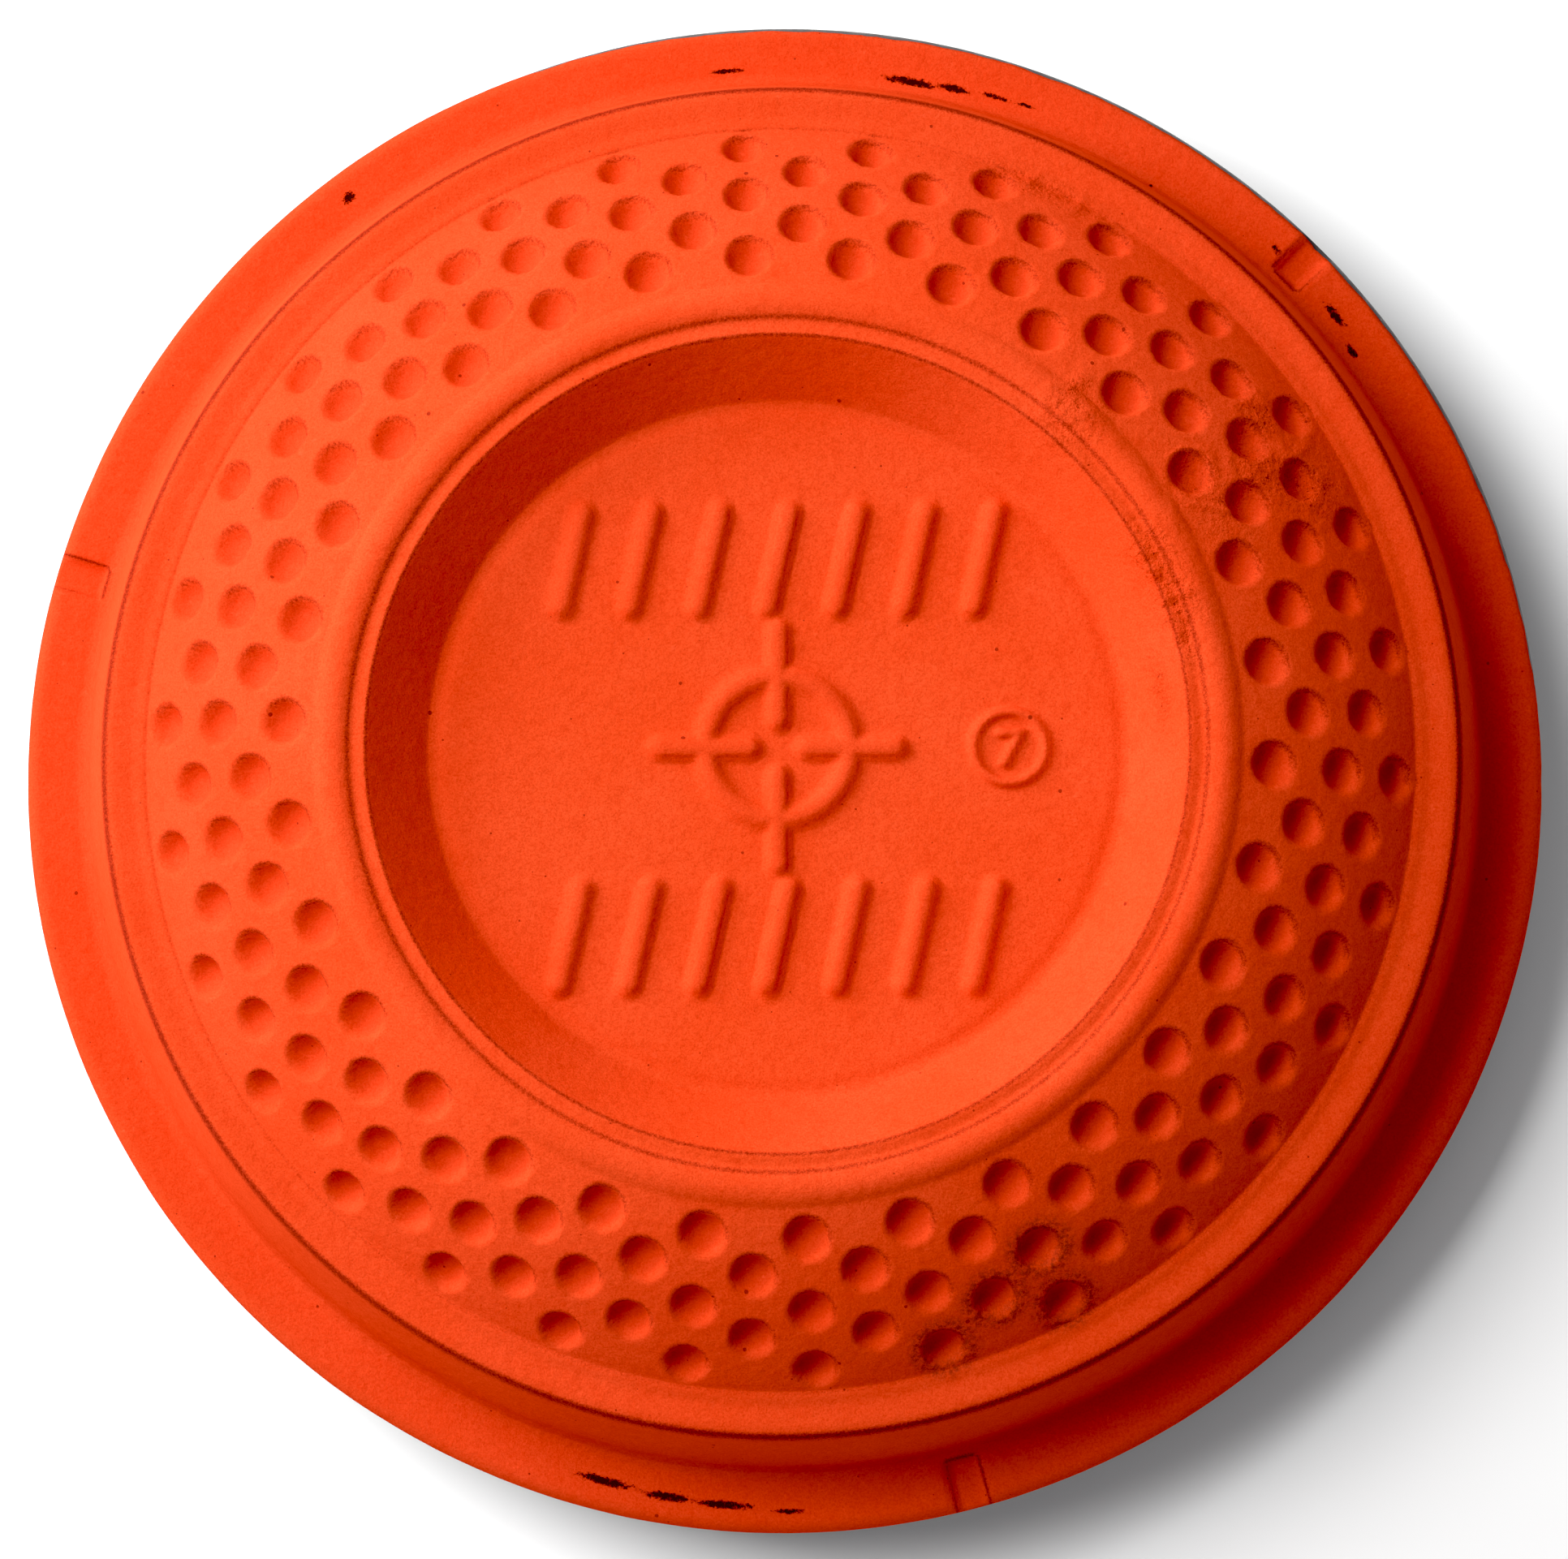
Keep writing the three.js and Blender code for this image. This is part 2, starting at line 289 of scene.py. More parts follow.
def ring_count(radius, most):
    """Fewer points on the small rings near the axis, halved each time, and a single point on the axis."""
    if radius < 0.05:
        return 1
    count = most
    while count > 7 and radius < 12 * count / most:
        count //= 2
    return count


class Skin:
    """A turned surface: rings of points, with each point's angle, place along the profile and normal."""

    def __init__(self, profile, gap, most, edge_shift=None):
        places = ring_places(profile, gap)
        every = np.arange(len(profile)) * PROFILE_STEP
        radii = np.interp(places, every, profile[:, 0])
        self.counts = [ring_count(radius, most) for radius in radii]
        self.angle = np.concatenate([np.arange(n) * 2 * math.pi / n for n in self.counts])
        self.along = np.repeat(places, self.counts)
        if edge_shift is not None:
            self.along = np.maximum(self.along + edge_shift(self.along, self.angle), 0)
        self.radius, self.height = (np.interp(self.along, every, profile[:, i]) for i in (0, 1))
        self.angle = self.angle + notch_gathering(self.angle, self.radius)
        self.across = np.column_stack([self.radius * np.cos(self.angle), self.radius * np.sin(self.angle)])
        tangent = np.gradient(profile, PROFILE_STEP, axis=0)
        tangent /= np.linalg.norm(tangent, axis=1)[:, None]
        self.normal_r = np.interp(self.along, every, tangent[:, 1])
        self.normal_z = np.interp(self.along, every, -tangent[:, 0])

    def points(self):
        return np.column_stack([self.across, self.height])

    def normals(self):
        return np.column_stack([
            self.normal_r * np.cos(self.angle),
            self.normal_r * np.sin(self.angle),
            self.normal_z,
        ])


def notch_gathering(angle, radius):
    """A small turn of the flange's points towards the notches, so that they lie closer there."""
    spread = math.radians(3.5)
    turn = np.zeros(len(angle))
    for notch in NOTCH_TURNS:
        away = turned_away(angle, notch)
        turn -= 0.75 * away * np.exp(-((away / spread) ** 2))
    return turn * smooth(radius, 47.7, 50.0)


def strip(first, first_count, second, second_count):
    """Faces between two rings of points, where one ring may have twice the other's points or only one."""
    if second_count > first_count:
        return [face[::-1] for face in strip(second, second_count, first, first_count)]
    i = np.arange(first_count)
    a = first + i
    a_next = first + (i + 1) % first_count
    if second_count == 1:
        return np.column_stack([a, a_next, np.full(first_count, second)]).tolist()
    if second_count == first_count:
        return np.column_stack([a, a_next, second + (i + 1) % second_count, second + i]).tolist()
    j = np.arange(second_count)
    b = second + j
    b_next = second + (j + 1) % second_count
    left, middle, right = a[::2], a[1::2], a_next[1::2]
    triangles = [(left, middle, b), (middle, b_next, b), (middle, right, b_next)]
    return [face for corners in triangles for face in np.column_stack(corners).tolist()]


def skin_faces(skin, offset=0, inside_out=False):
    starts = offset + np.r_[0, np.cumsum(skin.counts)]
    faces = []
    for i in range(len(skin.counts) - 1):
        faces += strip(starts[i], skin.counts[i], starts[i + 1], skin.counts[i + 1])
    return [face[::-1] for face in faces] if inside_out else faces


def mesh_object(name, points, faces, material, node, attributes):
    mesh = bpy.data.meshes.new(name)
    mesh.from_pydata((points * MM).tolist(), [], faces)
    for title, values in attributes.items():
        layer = mesh.attributes.new(title, "FLOAT", "POINT")
        layer.data.foreach_set("value", values.astype(np.float32))
    mesh.validate()
    mesh.shade_smooth()
    mesh.materials.append(material)
    piece = bpy.data.objects.new(name, mesh)
    bpy.context.scene.collection.objects.link(piece)
    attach(piece, BODY)
    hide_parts(node)


# ---------------------------------------------------------------- moulded detail

def dimple_depth(points):
    """How deep each point lies in the dome's dimples, which are shallow bowls square to the dome."""
    centre = swelling_centre(DOME_OUTER, DOME_INNER, DOME_ARC_RADIUS)
    depth = np.zeros(len(points))
    for radius, turn, mouth in DIMPLE_RINGS:
        bowl = (mouth**2 + DIMPLE_DEPTH**2) / (2 * DIMPLE_DEPTH)
        lean = math.asin((radius - centre[0]) / DOME_ARC_RADIUS)
        height = centre[1] + DOME_ARC_RADIUS * math.cos(lean)
        for i in range(DIMPLES_PER_RING):
            angle = math.radians(turn + i * 360 / DIMPLES_PER_RING)
            out = np.array([math.cos(angle), math.sin(angle), 0])
            offset = points - (out * radius + np.array([0, 0, height]))
            near = np.flatnonzero(np.einsum("ij,ij->i", offset, offset) < (0.97 * bowl) ** 2)
            square = out * math.sin(lean) + np.array([0, 0, math.cos(lean)])
            offset = offset[near]
            across = np.linalg.norm(offset - np.outer(offset @ square, square), axis=1)
            sunk = np.sqrt(np.maximum(bowl**2 - across**2, 0)) - (bowl - DIMPLE_DEPTH)
            depth[near] = np.maximum(depth[near], DIMPLE_LIP * np.logaddexp(0, sunk / DIMPLE_LIP))
    return depth


def notch_floor(points):
    """The height of the scooped notches' floor at each point, and far above the disc elsewhere."""
    radius = np.hypot(points[:, 0], points[:, 1])
    angle = np.arctan2(points[:, 1], points[:, 0])
    floor = np.full(len(points), 99.0)
    for turn in NOTCH_TURNS:
        away = turned_away(angle, turn)
        side = radius * np.sin(away)
        inward = RIM_RADIUS - radius * np.cos(away)
        scoop = NOTCH_DEPTH * (1 - (side / NOTCH_HALF_WIDTH) ** 6)
        end = NOTCH_SLOPE * (NOTCH_LENGTH - inward)
        depth = np.minimum(scoop, end)
        here = (np.abs(away) < 0.2) & (depth > 0)
        floor[here] = FLANGE - depth[here]
    return floor


def segment_distance(points, start, end):
    start, end = np.array(start), np.array(end)
    way = end - start
    part = np.clip((points - start) @ way / (way @ way), 0, 1)
    return np.linalg.norm(points - start - part[:, None] * way, axis=1)


def stroke_section(distance, scale=1.0):
    """The height of a moulded stroke at a distance from its middle line."""
    base_share = np.clip((STROKE_BASE * scale - distance) / ((STROKE_BASE - STROKE_RIDGE) * scale), 0, 1)
    across = np.clip(distance / (STROKE_RIDGE * scale), 0, 1)
    crown = (STROKE_HEIGHT - STROKE_BASE_HEIGHT) * np.sqrt(1 - across**2)
    return (STROKE_BASE_HEIGHT * base_share + crown) * scale**0.5


def relief_strokes():
    """The middle lines of the relief's strokes: two rows of slanted bars, and a ringed cross's arms."""
    rows = [
        ((i * BAR_PITCH - BAR_LEAN, y - BAR_RISE), (i * BAR_PITCH + BAR_LEAN, y + BAR_RISE))
        for y in (ROW_PLACE, -ROW_PLACE)
        for i in range(-3, 4)
    ]
    arms = [
        tuple((reach * math.cos(a), reach * math.sin(a)) for reach in (CROSS_ARM_INNER, CROSS_ARM_OUTER))
        for a in np.radians((0, 90, 180, 270))
    ]
    return rows + arms


def relief_distance(points):
    """The distance to the nearest stroke's middle line, and the same for the small cavity number."""
    flat = points[:, :2]
    lines = [segment_distance(flat, start, end) for start, end in relief_strokes()]
    lines.append(np.abs(np.linalg.norm(flat, axis=1) - CROSS_RING_RADIUS))
    number = flat - np.array(NUMBER_PLACE)
    small = [
        np.abs(np.linalg.norm(number, axis=1) - NUMBER_RING_RADIUS),
        segment_distance(number, (-0.7, 1.0), (0.75, 1.0)),
        segment_distance(number, (0.75, 1.0), (-0.35, -1.1)),
    ]
    return np.minimum.reduce(lines), np.minimum.reduce(small)


def patches(skin, places):
    """1 at the middle of each patch of wear, falling smoothly to 0 beyond it."""
    amount = np.zeros(len(skin.angle))
    for bearing, radius, along, across in places:
        round_it = radius * turned_away(skin.angle, bearing) / along
        over_it = (skin.radius - radius) / across
        amount = np.maximum(amount, np.exp(-0.7 * (round_it**2 + over_it**2)))
    return amount


def roughness_of(skin, points):
    """The lift of crumbled and wrinkled paint, where the disc was squeezed as it left the mould."""
    crumbs = patches(skin, CRUMBS)
    wrinkles = patches(skin, WRINKLES)
    grains = 0.14 * value_noise(points, 0.75, 11) + 0.09 * value_noise(points, 0.42, 12)
    folds = 0.22 * np.maximum(0.22 - np.abs(value_noise(points, 2.3, 13)), 0) / 0.22
    return crumbs * (grains + 0.03) + wrinkles * folds


def unevenness(points):
    """The slight waviness of a moulding that was knocked out hot."""
    return 0.022 * value_noise(points, 7.0, 1) + 0.008 * value_noise(points, 1.7, 2)


def moulded(skin, relief=True, sink=0.0):
    """The points of the moulding's upper skin, or of a skin sunk below it inside the rim."""
    points = skin.points()
    push = unevenness(points) + roughness_of(skin, points)
    crown = (skin.radius < 45.5) & (skin.radius > 31)
    push[crown] -= dimple_depth(points[crown])
    if relief:
        floor = skin.radius < RECESS_FLOOR_RADIUS
        large, small = relief_distance(points[floor])
        push[floor] += np.maximum(stroke_section(large), stroke_section(small, NUMBER_SCALE))
    push -= sink * smooth(-skin.radius, -RIM_RADIUS + 0.7, -RIM_RADIUS + 1.4)
    points = points + skin.normals() * push[:, None]
    points[:, 2] = np.minimum(points[:, 2], BEAD_TOP)
    flange = skin.radius > FLANGE_INNER
    points[flange, 2] = np.minimum(points[flange, 2], notch_floor(points[flange]) - sink)
    return points


# ---------------------------------------------------------------- shaders

class Shader:
    """A material's node tree, with one call for each node."""

    def __init__(self, name):
        self.material = bpy.data.materials.new(name)
        self.material.use_nodes = True
        self.nodes = self.material.node_tree.nodes
        self.links = self.material.node_tree.links
        self.surface = self.nodes["Principled BSDF"]
        self.where = self.node("ShaderNodeTexCoord", "Object")

    def put(self, socket, value):
        if isinstance(value, bpy.types.NodeSocket):
            self.links.new(value, socket)
        else:
            socket.default_value = value

    def node(self, kind, output, inputs=(), **settings):
        made = self.nodes.new(kind)
        for name, value in settings.items():
            setattr(made, name, value)
        for name, value in dict(inputs).items():
            self.put(made.inputs[name], value)
        return made.outputs[output]

    def attribute(self, name):
        return self.node("ShaderNodeAttribute", "Fac", attribute_name=name)

    def noise(self, size, detail=2.0, roughness=0.5):
        """Noise with features of a size in millimetres."""
        inputs = {"Vector": self.where, "Scale": 1 / (size * MM), "Detail": detail, "Roughness": roughness}
        return self.node("ShaderNodeTexNoise", "Fac", inputs)

    def stretch(self, value, low, high, to_low=0.0, to_high=1.0):
        inputs = {0: value, 1: low, 2: high, 3: to_low, 4: to_high}
        return self.node("ShaderNodeMapRange", "Result", inputs, interpolation_type="SMOOTHSTEP")

    def math(self, operation, first, second=0.0):
        return self.node("ShaderNodeMath", "Value", {0: first, 1: second}, operation=operation)

    def mix(self, share, first, second):
        made = self.nodes.new("ShaderNodeMix")
        made.data_type = "RGBA"
        for index, value in ((0, share), (6, first), (7, second)):
            self.put(made.inputs[index], value)
        return made.outputs[2]

    def radius(self):
        """The distance from the disc's axis in millimetres."""
        inputs = {0: self.where, 1: (1 / MM, 1 / MM, 0)}
        flat = self.node("ShaderNodeVectorMath", "Vector", inputs, operation="MULTIPLY")
        return self.node("ShaderNodeVectorMath", "Value", {0: flat}, operation="LENGTH")

    def line(self, value, place, width, strength):
        """A soft line where value comes to place."""
        away = self.math("ABSOLUTE", self.math("SUBTRACT", value, place))
        return self.stretch(away, width, 0.0, 0.0, strength)

    def specks(self, spacing, size, share):
        """Scattered round specks: 1 in a speck, 0 elsewhere."""
        cells = self.nodes.new("ShaderNodeTexVoronoi")
        self.put(cells.inputs["Vector"], self.where)
        self.put(cells.inputs["Scale"], 1 / (spacing * MM))
        chance = self.node("ShaderNodeSeparateColor", "Red", {"Color": cells.outputs["Color"]})
        reach = self.stretch(chance, 1 - share, 1.0, 0.0, size / spacing)
        return self.math("LESS_THAN", cells.outputs["Distance"], reach)

    def finish(self, **sockets):
        for name, value in sockets.items():
            self.put(self.surface.inputs[name.replace("_", " ")], value)
        return self.material


PAINT_COLOUR = (0.739, 0.0806, 0.0287, 1)
PAINT_DARKER = (0.731, 0.0773, 0.0259, 1)
PAINT_LIGHTER = (0.766, 0.0881, 0.0315, 1)
# A darker paint, used for painted shade on the flange and in the dimples, and for darkening towards the
# dome's outer edge.
PAINT_SHADED_DARKER = (0.590, 0.0621, 0.0239, 1)
PAINT_GRAIN = (0.479, 0.0332, 0.0101, 1)
PAINT_BLOTCH = (0.574, 0.0499, 0.0172, 1)
PAINT_DUSTY = (0.809, 0.1038, 0.0431, 1)
PAINT_RUBBED = (0.522, 0.0432, 0.0172, 1)
# Dark grains, used for grime and for painted shade on the bead's inner flank.
GRIME_AND_SHADE_COLOUR = (0.113, 0.0117, 0.0086, 1)
DIMPLE_GRIME = (0.130, 0.0286, 0.0198, 1)
DARK_SPECK = (0.139, 0.0150, 0.0115, 1)
PALE_SPECK = (0.827, 0.2493, 0.1723, 1)
CRACK = (0.104, 0.0117, 0.0086, 1)
CHIPPED_PITCH = (0.050, 0.018, 0.013, 1)
PITCH_DARKER = (0.052, 0.047, 0.044, 1)
PITCH_LIGHTER = (0.072, 0.063, 0.058, 1)
LIMESTONE_SPECK = (0.25, 0.24, 0.22, 1)


def paint_base(s, radius, grain):
    """The sprayed paint: cloudy and mottled, with painted shade on the flange and in the dimples' hollows,
    and darker towards the dome's outer edge.
    """
    cloudy = s.stretch(s.noise(9.0, 3.0), 0.3, 0.7)
    colour = s.mix(cloudy, PAINT_DARKER, PAINT_LIGHTER)
    # Painted shade darkens the flange under the dome and the dimples' hollows by their depth; the dome
    # darkens towards its outer edge.
    on_flange = s.stretch(radius, 48.6, 50.4, 0.0, 0.6)
    on_dome = s.stretch(radius, 32.5, 41.0, 0.0, 0.35)
    in_dimples = s.stretch(s.attribute("pit"), 0.1, 0.8, 0.0, 0.75)
    shade_and_darkening = s.math("MAXIMUM", s.math("MAXIMUM", on_flange, on_dome), in_dimples)
    colour = s.mix(shade_and_darkening, colour, PAINT_SHADED_DARKER)
    colour = s.mix(s.stretch(grain, 0.38, 0.68, 0.0, 0.55), colour, PAINT_GRAIN)
    blotches = s.stretch(s.noise(1.2, 5.0, 0.8), 0.46, 0.72, 0.0, 0.5)
    colour = s.mix(blotches, colour, PAINT_BLOTCH)
    dusty = s.stretch(s.noise(0.45, 4.0, 0.8), 0.55, 0.75, 0.0, 0.45)
    return s.mix(dusty, colour, PAINT_DUSTY)


def add_grime_and_shade(s, colour, radius):
    """Dark grains along the edges, creases and the relief's flanks, painted shade on the bead's inner
    flank, and grime round some dimples.
    """
    dark_marks = s.attribute("lip")
    for place, width, strength in GRIME_AND_SHADE_LINES:
        dark_marks = s.math("MAXIMUM", dark_marks, s.line(radius, place, width, strength))
    ridge = s.attribute("ridge")
    dark_marks = s.math("MAXIMUM", dark_marks, s.line(ridge, 1.1, 0.35, 0.45))
    fine = s.noise(0.15, 4.0, 0.85)
    gathered = s.math("ADD", s.math("MULTIPLY", dark_marks, 0.55), s.math("MULTIPLY", fine, 0.9))
    grains = s.stretch(gathered, 0.66, 1.12)
    # These grains carry grime and, on the bead's inner flank, painted shade.
    colour = s.mix(s.math("MULTIPLY", grains, 0.85), colour, GRIME_AND_SHADE_COLOUR)
    rubbed = s.math("MULTIPLY", s.stretch(ridge, 1.0, 0.6), s.stretch(fine, 0.45, 0.65, 0.05, 0.4))
    colour = s.mix(rubbed, colour, PAINT_RUBBED)
    patchy = s.stretch(s.noise(0.4, 4.0, 0.85), 0.40, 0.62, 0.1, 0.75)
    return s.mix(s.math("MULTIPLY", s.attribute("smudge"), patchy), colour, DIMPLE_GRIME)


def add_specks(s, colour):
    dark = s.math("MAXIMUM", s.specks(2.2, 0.17, 0.35), s.specks(0.9, 0.08, 0.28))
    colour = s.mix(s.math("MULTIPLY", dark, 0.65), colour, DARK_SPECK)
    return s.mix(s.math("MULTIPLY", s.specks(7.0, 0.10, 0.3), 0.5), colour, PALE_SPECK)


def paint_material():
    s = Shader("orange_paint")
    radius = s.radius()
    grain = s.noise(0.14, 4.0, 0.75)
    colour = paint_base(s, radius, grain)
    colour = add_grime_and_shade(s, colour, radius)
    colour = add_specks(s, colour)

    crumbs = s.attribute("crumbs")
    cracks = s.math("MULTIPLY", crumbs, s.stretch(s.noise(0.35, 5.0, 0.85), 0.53, 0.66))
    colour = s.mix(cracks, colour, CRACK)
    chipped = s.math("ADD", s.attribute("worn"), s.math("MULTIPLY", s.noise(0.32, 6.0, 0.9), 2.0))
    worn = s.stretch(chipped, 1.70, 1.88)
    colour = s.mix(worn, colour, CHIPPED_PITCH)

    lumps = s.math("MULTIPLY", s.noise(0.4, 4.0, 0.7), s.math("MULTIPLY", crumbs, 9.0))
    height = s.math("ADD", s.math("ADD", grain, lumps), s.math("MULTIPLY", s.noise(0.7, 3.0), 1.8))
    height = s.math("SUBTRACT", height, s.math("MULTIPLY", worn, 2.0))
    bump = s.node("ShaderNodeBump", "Normal", {"Height": height, "Distance": 0.05 * MM, "Strength": 0.8})
    return s.finish(Base_Color=colour, Roughness=0.85, Specular_IOR_Level=0.0, Normal=bump)


def pitch_material():
    s = Shader("pitch")
    cloudy = s.stretch(s.noise(6.0, 4.0), 0.3, 0.7)
    colour = s.mix(cloudy, PITCH_DARKER, PITCH_LIGHTER)
    specks = s.specks(0.9, 0.1, 0.3)
    colour = s.mix(s.math("MULTIPLY", specks, 0.5), colour, LIMESTONE_SPECK)
    mist = s.math("ADD", s.attribute("mist"), s.noise(0.25, 4.0, 0.8))
    colour = s.mix(s.stretch(mist, 1.0, 1.1), colour, PAINT_COLOUR)
    rough = s.stretch(s.noise(1.2, 4.0), 0.3, 0.7, 0.38, 0.6)
    height = s.noise(0.5, 4.0, 0.6)
    bump = s.node("ShaderNodeBump", "Normal", {"Height": height, "Distance": 0.08 * MM, "Strength": 0.5})
    return s.finish(Base_Color=colour, Roughness=rough, Normal=bump)


# ---------------------------------------------------------------- the two pieces

def bareness(angle):
    """Where the rim's rounding was left unpainted: 1 at the back right, 0 at the front."""
    return smooth(np.cos(angle - math.radians(BARE_BEARING)), 0.1, 0.9)


def paint_edge_shift(along, angle):
    """The paint's ragged lower edge: it stops short of the widest line where the rim is bare."""
    around = np.column_stack([60 * np.cos(angle), 60 * np.sin(angle), 0 * angle])
    ragged = 0.12 * value_noise(around, 2.0, 5) + 0.06 * value_noise(around, 0.6, 6)
    edge = 2.25 + 0.95 * bareness(angle) + ragged
    return edge * (1 - smooth(along, 0.0, 2 * along_at(RIM_RADIUS - RIM_ROUNDING)))


def lip_dirt(skin):
    """Dark grains gathered on the dimples' lips, mostly towards the back right."""
    dark_marks = np.zeros(len(skin.radius))
    for radius, turn, mouth in DIMPLE_RINGS:
        pitch = 2 * math.pi / DIMPLES_PER_RING
        away = np.remainder(skin.angle - math.radians(turn) + pitch / 2, pitch) - pitch / 2
        outward = skin.radius * np.cos(away) - radius
        outward = outward / np.maximum(skin.normal_z, 0.5)
        sideways = skin.radius * np.sin(away)
        gap = np.hypot(outward, sideways) - mouth
        bearing = np.arctan2(sideways, outward) + skin.angle - away
        side = 0.35 + 0.5 * smooth(np.cos(bearing - math.radians(LIP_DIRT_BEARING)), -0.3, 0.6)
        dark_marks = np.maximum(dark_marks, side * np.exp(-((gap / 0.34) ** 2)))
    return dark_marks


def notch_grime(skin):
    """Dark grains along the notches' sides and inner ends."""
    grime = np.zeros(len(skin.radius))
    for turn in NOTCH_TURNS:
        away = turned_away(skin.angle, turn)
        side = np.abs(skin.radius * np.sin(away))
        inward = RIM_RADIUS - skin.radius * np.cos(away)
        past_side = side - NOTCH_HALF_WIDTH
        past_end = inward - NOTCH_LENGTH
        wall = np.exp(-((past_side / 0.2) ** 2)) * smooth(-past_end, -0.1, 0.2)
        end = np.exp(-((past_end / 0.25) ** 2)) * smooth(-past_side, -0.1, 0.2)
        grime = np.maximum(grime, np.where(np.abs(away) < 0.2, np.maximum(wall, end), 0))
    return grime


def deposit(skin):
    """Grey-brown grime round a few dimples."""
    smudge = np.zeros(len(skin.radius))
    for bearing, radius in SMUDGES:
        sideways = radius * turned_away(skin.angle, bearing)
        gap = np.hypot(sideways, (skin.radius - radius) / 0.8) - 1.9
        smudge = np.maximum(smudge, np.exp(-((gap / 0.65) ** 2)))
    return smudge


def edge_wear(skin):
    """The ring's outer corner, rubbed down to the pitch in places at the front right."""
    front = smooth(np.cos(turned_away(skin.angle, RUBBED_BEARING)), 0.35, 0.95)
    corner = np.exp(-(((skin.radius - RING_CORNER) / 0.22) ** 2))
    return front * corner


def make_coat(material):
    outer = Skin(TOP, RING_GAP, FINE_COUNT, paint_edge_shift)
    inner = Skin(TOP, 2 * RING_GAP, FINE_COUNT // 2, paint_edge_shift)
    outer_points = moulded(outer)
    top = outer_points + outer.normals() * FILM
    bottom = moulded(inner, relief=False, sink=SKIN_SINK) + inner.normals() * SKIN_GAP
    faces = skin_faces(outer) + skin_faces(inner, len(top), inside_out=True)
    faces += [face[::-1] for face in strip(0, outer.counts[0], len(top), inner.counts[0])]
    pad = np.zeros(len(bottom))
    large, small = relief_distance(outer_points)
    values = {
        "lip": np.maximum(lip_dirt(outer), notch_grime(outer)),
        "ridge": np.minimum(large / STROKE_RIDGE, small / (NUMBER_SCALE * STROKE_RIDGE)),
        "worn": np.maximum(patches(outer, SCUFFS), 0.6 * edge_wear(outer)),
        "crumbs": np.maximum(patches(outer, CRUMBS), 0.6 * patches(outer, WRINKLES)),
        "smudge": deposit(outer),
        "pit": dimple_depth(outer.points()) / DIMPLE_DEPTH,
    }
    attributes = {name: np.r_[value, pad] for name, value in values.items()}
    points = np.vstack([top, bottom])
    mesh_object("painted_skin", points, faces, material, "paint_coat", attributes)


def make_body(material):
    top = Skin(TOP, 2 * RING_GAP, FINE_COUNT // 2)
    under = Skin(UNDERSIDE, 2 * RING_GAP, FINE_COUNT // 2)
    points = np.vstack([under.points(), moulded(top, relief=False, sink=2 * SKIN_SINK)])
    faces = skin_faces(under) + skin_faces(top, len(under.along))
    last = len(under.along) - under.counts[-1]
    faces += strip(last, under.counts[-1], len(under.along), top.counts[0])
    outside = np.hypot(points[:, 0], points[:, 1]) > 51.5
    reach = 0.55 - 0.4 * bareness(np.arctan2(points[:, 1], points[:, 0]))
    mist = np.where(outside, reach * smooth(points[:, 2], 3.0, FLANGE - 0.5), 0)
    mesh_object("moulded_disc", points, faces, material, "pitch_body", {"mist": mist})


# ---------------------------------------------------------------- camera, light and floor

CAMERA_DISTANCE = 0.470
CAMERA_TILT = 6.34
CAMERA_BEARING = -78.4
CAMERA_AIM = Vector((0.081, -0.71, 10.16)) * MM
CAMERA_LENS = 150.4


def direction(tilt, bearing):
    """A unit vector that leans from +Z by tilt towards a bearing about Z, in degrees."""
    lean, turn = math.radians(tilt), math.radians(bearing)
    return Vector((math.sin(lean) * math.cos(turn), math.sin(lean) * math.sin(turn), math.cos(lean)))


def aim(thing, target, towards, distance, upright):
    """Puts thing at a distance from target and points it there, with its top towards upright."""
    forward = -towards
    right = forward.cross(Vector(upright)).normalized()
    up = right.cross(forward)
    turn = Matrix((right, up, towards)).transposed().to_4x4()
    thing.matrix_world = Matrix.Translation(target + towards * distance) @ turn


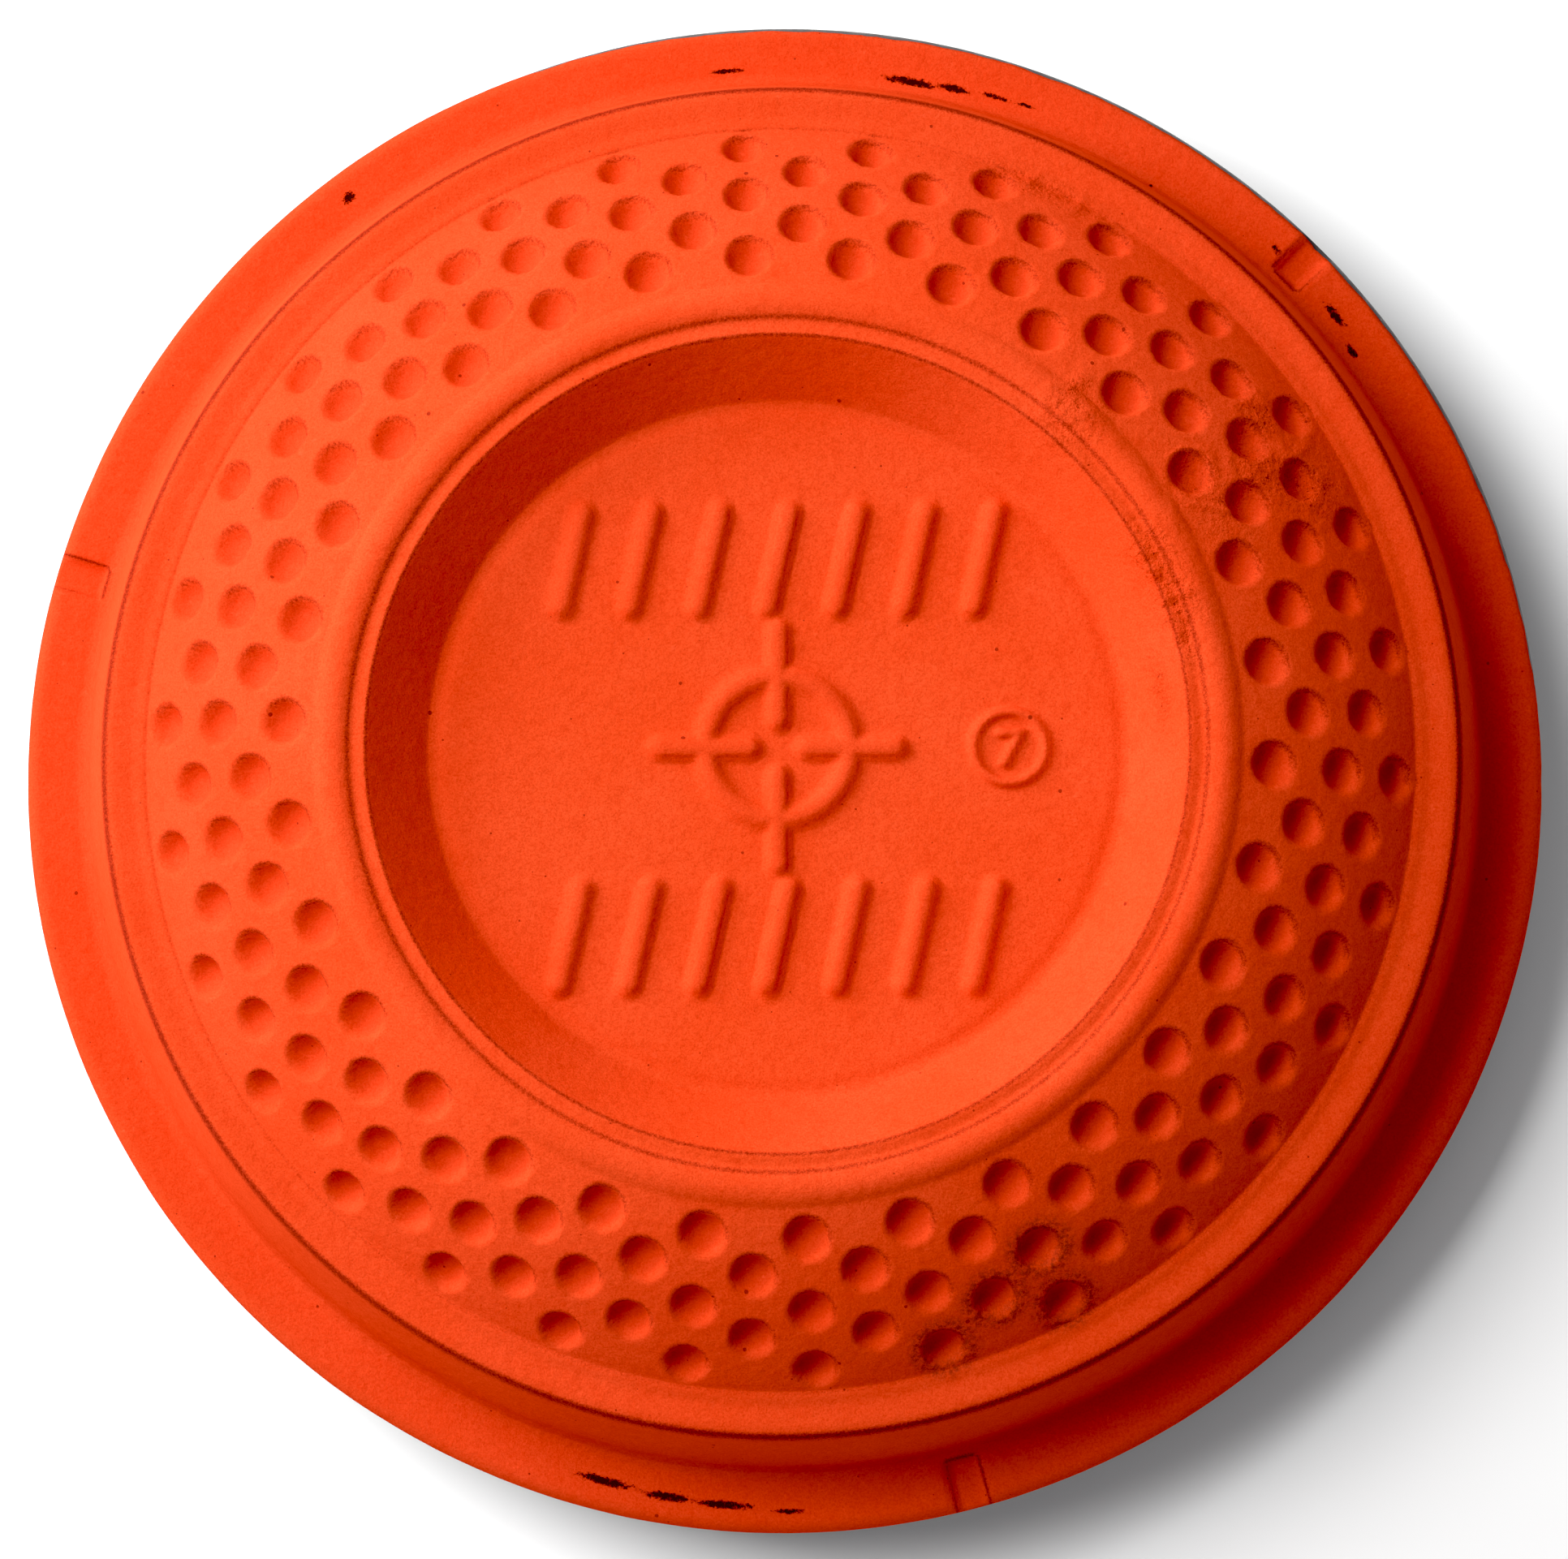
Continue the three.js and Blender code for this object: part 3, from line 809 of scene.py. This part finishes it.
def add_camera():
    data = bpy.data.cameras.new("camera")
    data.lens = CAMERA_LENS
    data.sensor_width = 36.0
    data.clip_start = 0.01
    data.clip_end = 20.0
    camera = bpy.data.objects.new("camera", data)
    bpy.context.scene.collection.objects.link(camera)
    aim(camera, CAMERA_AIM, direction(CAMERA_TILT, CAMERA_BEARING), CAMERA_DISTANCE, (0, 1, 0))
    bpy.context.scene.camera = camera


def add_softbox(name, tilt, bearing, distance, width, height, power):
    data = bpy.data.lights.new(name, "AREA")
    data.shape = "RECTANGLE"
    data.size = width
    data.size_y = height
    data.energy = power
    light = bpy.data.objects.new(name, data)
    bpy.context.scene.collection.objects.link(light)
    aim(light, Vector((0, 0, 0.015)), direction(tilt, bearing), distance, (0, 0, 1))


def add_world(strength):
    world = bpy.data.worlds.new("studio")
    world.use_nodes = True
    world.node_tree.nodes["Background"].inputs["Color"].default_value = (1, 1, 1, 1)
    world.node_tree.nodes["Background"].inputs["Strength"].default_value = strength
    bpy.context.scene.world = world


def add_floor():
    """A pale sheet that the disc lies on."""
    half = 1.5
    mesh = bpy.data.meshes.new("floor")
    corners = [(-half, -half, 0), (half, -half, 0), (half, half, 0), (-half, half, 0)]
    mesh.from_pydata(corners, [], [(0, 1, 2, 3)])
    s = Shader("floor_paper")
    mottle = s.stretch(s.noise(30.0, 3.0), 0.3, 0.7)
    paper = s.mix(mottle, (0.95, 0.95, 0.95, 1), (0.97, 0.97, 0.97, 1))
    mesh.materials.append(s.finish(Base_Color=paper, Roughness=0.9))
    floor = bpy.data.objects.new("floor", mesh)
    bpy.context.scene.collection.objects.link(floor)


def set_tone():
    """Plain contrast, with the black point raised a little. The view's curve sets it per channel."""
    view = bpy.context.scene.view_settings
    view.view_transform = "Standard"
    view.look = "None"
    view.use_curve_mapping = True
    view.curve_mapping.black_level = (0.024, 0.025, 0.020)
    view.curve_mapping.update()


make_coat(paint_material())
make_body(pitch_material())
add_camera()
add_softbox("low_key", tilt=72, bearing=151, distance=0.7, width=0.5, height=0.3, power=5.2)
add_softbox("high_key", tilt=36, bearing=151, distance=0.7, width=0.5, height=0.4, power=5.8)
add_softbox("back_fill", tilt=60, bearing=60, distance=0.8, width=0.9, height=0.7, power=1.3)
add_softbox("front_fill", tilt=60, bearing=240, distance=0.8, width=0.9, height=0.7, power=1.2)
add_world(strength=0.16)
add_floor()
set_tone()
